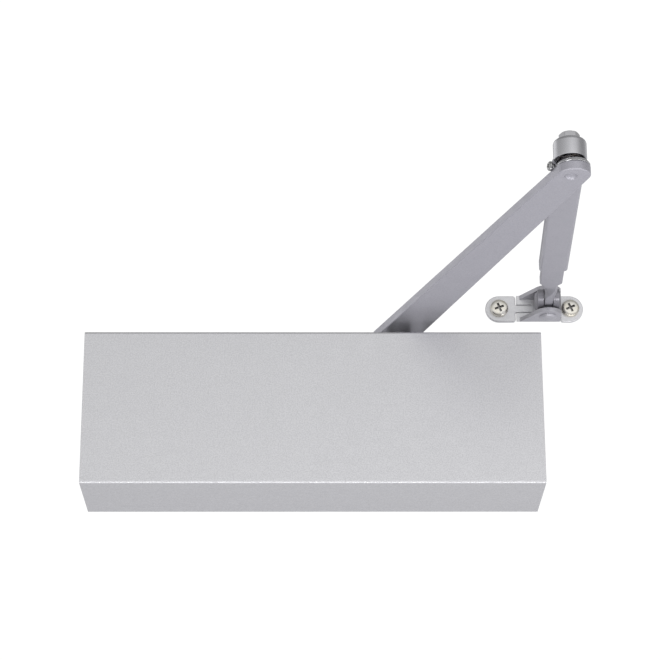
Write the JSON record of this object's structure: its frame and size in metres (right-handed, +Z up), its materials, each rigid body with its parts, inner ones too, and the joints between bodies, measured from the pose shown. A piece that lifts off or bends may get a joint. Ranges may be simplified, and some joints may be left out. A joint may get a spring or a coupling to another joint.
{
  "type": "door closer",
  "caption": "Surface-mounted door closer: covered rack-and-pinion body, folding two-piece arm with adjustable forearm, and a pivoting shoe for the frame.",
  "frame": {"origin": "middle of the four door screw holes, in the plane of the door's face", "axes": "+X along the cover towards the spindle's end, +Y into the door, +Z up"},
  "size_m": [0.3506, 0.3197, 0.1622],
  "materials": {
    "cover_paint": "satin silver metallic enamel",
    "arm_paint": "satin silver enamel",
    "shoe_paint": "satin light silver enamel",
    "turned_steel": "turned, bright plated",
    "zinc_screw": "bright zinc plate",
    "dark_steel": "oiled spring steel",
    "cast_body": "painted casting, lightly rough",
    "machined_steel": "machined",
    "bracket_steel": "zinc plated sheet",
    "brass": "machined",
    "rubber": "matt",
    "black_plastic": "moulded"
  },
  "bodies": {
    "closer": {"cover": "cover_paint", "cover_screws": "zinc_screw", "left_bracket": "bracket_steel", "right_bracket": "bracket_steel", "bracket_screws": "zinc_screw", "closer_body": "cast_body", "left_plug": "machined_steel", "right_plug": "machined_steel", "plug_seals": "rubber", "upper_bearing": "brass", "lower_bearing": "brass", "shaft_seals": "rubber", "upper_gland_nut": "machined_steel", "lower_gland_nut": "machined_steel", "closing_spring": "dark_steel"},
    "piston": {"piston": "machined_steel", "check_ball": "turned_steel", "ball_ring": "dark_steel"},
    "spring_seat": {"spring_seat": "machined_steel"},
    "power_screw": {"power_screw": "turned_steel"},
    "sweep_valve": {"sweep_valve": "brass"},
    "latch_valve": {"latch_valve": "brass"},
    "backcheck_valve": {"backcheck_valve": "brass"},
    "arm": {"pinion_shaft": "turned_steel", "spindle_cap": "black_plastic", "main_arm": "arm_paint", "arm_washer": "zinc_screw", "arm_screw": "zinc_screw", "elbow_stud": "arm_paint", "elbow_collar": "turned_steel", "elbow_lock_screw": "zinc_screw", "elbow_screw": "turned_steel"},
    "forearm": {"wave_washer": "dark_steel", "elbow_barrel": "turned_steel", "forearm_sleeve": "arm_paint", "forearm_clamp_screw": "turned_steel"},
    "forearm_bar": {"forearm_bar": "arm_paint"},
    "knuckle": {"knuckle": "arm_paint", "cross_pin": "turned_steel"},
    "shoe": {"shoe_bracket": "shoe_paint", "pivot_pin": "arm_paint", "pivot_ring": "dark_steel", "shoe_screws": "zinc_screw"}
  },
  "joints": [
    {"name": "main_arm_swing", "type": "hinge", "parent": "closer", "child": "arm", "pos_m": [0.05, -0.033, 0.067], "axis": [0, 0, 1], "range_deg": [0, 170], "stiffness_Nm_per_rad": 0.6, "springref_deg": -57.3},
    {"name": "piston_slide", "type": "slide", "parent": "closer", "child": "piston", "axis": [-1, 0, 0], "range_m": [0, 0.0298], "deforming": ["closing_spring"]},
    {"name": "power_screw_turn", "type": "hinge", "parent": "closer", "child": "power_screw", "pos_m": [-0.09, -0.033, 0], "axis": [1, 0, 0], "range_deg": [0, 3600]},
    {"name": "spring_seat_slide", "type": "slide", "parent": "closer", "child": "spring_seat", "axis": [1, 0, 0], "range_m": [0, 0.0125]},
    {"name": "sweep_valve_turn", "type": "hinge", "parent": "closer", "child": "sweep_valve", "pos_m": [0.1, -0.039, -0.029], "axis": [1, 0, 0], "range_deg": [0, 720]},
    {"name": "latch_valve_turn", "type": "hinge", "parent": "closer", "child": "latch_valve", "pos_m": [0.1, -0.027, -0.029], "axis": [1, 0, 0], "range_deg": [0, 720]},
    {"name": "backcheck_valve_turn", "type": "hinge", "parent": "closer", "child": "backcheck_valve", "pos_m": [0.1, -0.033, 0.029], "axis": [1, 0, 0], "range_deg": [0, 720]},
    {"name": "elbow_fold", "type": "hinge", "parent": "arm", "child": "forearm", "pos_m": [0.1427, -0.295, 0.08], "axis": [0, 0, -1], "range_deg": [-8, 157]},
    {"name": "forearm_extend", "type": "slide", "parent": "forearm", "child": "forearm_bar", "axis": [0.0489, 0.9968, 0.063], "range_m": [-0.03, 0.04]},
    {"name": "knuckle_tilt", "type": "hinge", "parent": "forearm_bar", "child": "knuckle", "pos_m": [0.15589, -0.02599, 0.096], "axis": [0.9988, -0.049, 0], "range_deg": [-7, 7]},
    {"name": "shoe_pivot", "type": "hinge", "parent": "knuckle", "child": "shoe", "pos_m": [0.1565, -0.0135, 0.096], "axis": [0, 0, 1], "range_deg": [-70, 70]}
  ],
  "couplings": [
    {"joint": "piston_slide", "follows": "main_arm_swing", "m_per_rad": 0.01},
    {"joint": "power_screw_turn", "follows": "spring_seat_slide", "rad_per_m": 5026.5}
  ]
}
